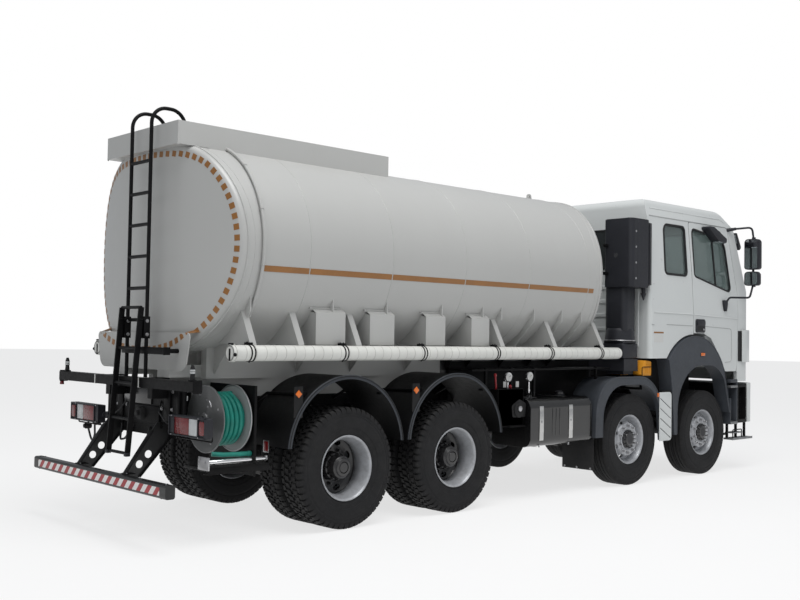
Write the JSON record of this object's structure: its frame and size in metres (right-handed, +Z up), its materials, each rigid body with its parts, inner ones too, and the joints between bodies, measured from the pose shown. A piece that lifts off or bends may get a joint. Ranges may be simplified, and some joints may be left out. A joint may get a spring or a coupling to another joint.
{
  "type": "four-axle tanker truck",
  "caption": "Cab-over tanker truck on four axles with an elliptical road tank, spill box, rear ladder, hose reel, tilting cab, opening doors and steered front wheels.",
  "frame": {"origin": "on the ground, at the middle of the truck's length and width", "axes": "+X forward, +Y to the truck's left, +Z up"},
  "size_m": [9.7, 3.1008, 3.829],
  "materials": {
    "tyre_rubber": "matt",
    "wheel_steel": "satin silver",
    "cast_parts": "painted black",
    "chassis_black": "satin black",
    "exhaust_steel": "dull",
    "tank_black": "satin black",
    "tank_white": "gloss white",
    "guard_plastic": "dark grey",
    "warning_paint": "red and white stripes",
    "lamp_lens": "clear red",
    "black_plastic": "grained",
    "reel_grey": "grey",
    "hose_green": "ribbed green",
    "cab_white": "gloss white",
    "window_glass": "tinted",
    "seat_cloth": "woven"
  },
  "bodies": {
    "chassis": {"chassis_frame": "chassis_black", "front_axles": "cast_parts", "rear_axles": "cast_parts", "leaf_springs": "chassis_black", "engine_block": "cast_parts", "propshafts": "cast_parts", "air_tanks": "chassis_black", "silencer": "exhaust_steel", "fuel_tank": "tank_black", "side_boxes": "chassis_black", "tank": "tank_white", "tank_saddles": "tank_white", "top_box": "tank_white", "rear_ladder": "chassis_black", "hose_tubes": "tank_white", "mudguards": "guard_plastic", "rear_crossbeam": "chassis_black", "underrun_bar": "warning_paint", "lamps": "lamp_lens", "air_intake": "black_plastic", "reel_bracket": "chassis_black", "bumper": "cab_white"},
    "knuckle_1_left": {"knuckle_1_left": "cast_parts"},
    "wheel_1_left": {"tyre_1_left": "tyre_rubber", "rim_1_left": "wheel_steel"},
    "knuckle_1_right": {"knuckle_1_right": "cast_parts"},
    "wheel_1_right": {"tyre_1_right": "tyre_rubber", "rim_1_right": "wheel_steel"},
    "knuckle_2_left": {"knuckle_2_left": "cast_parts"},
    "wheel_2_left": {"tyre_2_left": "tyre_rubber", "rim_2_left": "wheel_steel"},
    "knuckle_2_right": {"knuckle_2_right": "cast_parts"},
    "wheel_2_right": {"tyre_2_right": "tyre_rubber", "rim_2_right": "wheel_steel"},
    "wheels_3_left": {"tyres_3_left": "tyre_rubber", "rims_3_left": "wheel_steel"},
    "wheels_3_right": {"tyres_3_right": "tyre_rubber", "rims_3_right": "wheel_steel"},
    "wheels_4_left": {"tyres_4_left": "tyre_rubber", "rims_4_left": "wheel_steel"},
    "wheels_4_right": {"tyres_4_right": "tyre_rubber", "rims_4_right": "wheel_steel"},
    "cab": {"cab_shell": "cab_white", "cab_roof": "cab_white", "grille": "cab_white", "cab_glass": "window_glass", "seats": "seat_cloth", "dashboard": "black_plastic"},
    "door_left": {"door_left": "cab_white", "door_glass_left": "window_glass", "mirrors_left": "black_plastic"},
    "door_right": {"door_right": "cab_white", "door_glass_right": "window_glass", "mirrors_right": "black_plastic"},
    "hose_reel": {"hose_reel": "reel_grey", "reel_hose": "hose_green"},
    "lid_rear": {"manhole_lid_rear": "tank_white"},
    "lid_front": {"manhole_lid_front": "tank_white"}
  },
  "joints": [
    {"name": "steer_1_left", "type": "hinge", "parent": "chassis", "child": "knuckle_1_left", "pos_m": [3.355, 0.9, 0.5625], "axis": [0, 0, 1], "range_deg": [-36, 36]},
    {"name": "roll_1_left", "type": "hinge", "parent": "knuckle_1_left", "child": "wheel_1_left", "pos_m": [3.355, 0.9, 0.5625], "axis": [0, 1, 0], "continuous": true},
    {"name": "steer_1_right", "type": "hinge", "parent": "chassis", "child": "knuckle_1_right", "pos_m": [3.355, -0.9, 0.5625], "axis": [0, 0, 1], "range_deg": [-36, 36]},
    {"name": "roll_1_right", "type": "hinge", "parent": "knuckle_1_right", "child": "wheel_1_right", "pos_m": [3.355, -0.9, 0.5625], "axis": [0, 1, 0], "continuous": true},
    {"name": "steer_2_left", "type": "hinge", "parent": "chassis", "child": "knuckle_2_left", "pos_m": [1.655, 0.9, 0.5625], "axis": [0, 0, 1], "range_deg": [-25.2, 25.2]},
    {"name": "roll_2_left", "type": "hinge", "parent": "knuckle_2_left", "child": "wheel_2_left", "pos_m": [1.655, 0.9, 0.5625], "axis": [0, 1, 0], "continuous": true},
    {"name": "steer_2_right", "type": "hinge", "parent": "chassis", "child": "knuckle_2_right", "pos_m": [1.655, -0.9, 0.5625], "axis": [0, 0, 1], "range_deg": [-25.2, 25.2]},
    {"name": "roll_2_right", "type": "hinge", "parent": "knuckle_2_right", "child": "wheel_2_right", "pos_m": [1.655, -0.9, 0.5625], "axis": [0, 1, 0], "continuous": true},
    {"name": "roll_3_left", "type": "hinge", "parent": "chassis", "child": "wheels_3_left", "pos_m": [-1.495, 0.92, 0.5625], "axis": [0, 1, 0], "continuous": true},
    {"name": "roll_3_right", "type": "hinge", "parent": "chassis", "child": "wheels_3_right", "pos_m": [-1.495, -0.92, 0.5625], "axis": [0, 1, 0], "continuous": true},
    {"name": "roll_4_left", "type": "hinge", "parent": "chassis", "child": "wheels_4_left", "pos_m": [-2.945, 0.92, 0.5625], "axis": [0, 1, 0], "continuous": true},
    {"name": "roll_4_right", "type": "hinge", "parent": "chassis", "child": "wheels_4_right", "pos_m": [-2.945, -0.92, 0.5625], "axis": [0, 1, 0], "continuous": true},
    {"name": "cab_tilt", "type": "hinge", "parent": "chassis", "child": "cab", "pos_m": [4.55, 0, 0.6], "axis": [0, 1, 0], "range_deg": [0, 55]},
    {"name": "door_left_swing", "type": "hinge", "parent": "cab", "child": "door_left", "pos_m": [4.186, 1.216, 2], "axis": [0, 0, -1], "range_deg": [0, 65]},
    {"name": "door_right_swing", "type": "hinge", "parent": "cab", "child": "door_right", "pos_m": [4.186, -1.216, 2], "axis": [0, 0, 1], "range_deg": [0, 65]},
    {"name": "reel_turn", "type": "hinge", "parent": "chassis", "child": "hose_reel", "pos_m": [-4.1, -0.85, 1.045], "axis": [1, 0, 0], "continuous": true},
    {"name": "lid_rear_hinge", "type": "hinge", "parent": "chassis", "child": "lid_rear", "pos_m": [-3.298, 0, 3.588], "axis": [0, 1, 0], "range_deg": [0, 95]},
    {"name": "lid_front_hinge", "type": "hinge", "parent": "chassis", "child": "lid_front", "pos_m": [-2.258, 0, 3.588], "axis": [0, 1, 0], "range_deg": [0, 95]}
  ],
  "couplings": [
    {"joint": "steer_1_right", "follows": "steer_1_left", "ratio": 1},
    {"joint": "steer_2_left", "follows": "steer_1_left", "ratio": 0.7},
    {"joint": "steer_2_right", "follows": "steer_1_left", "ratio": 0.7}
  ]
}
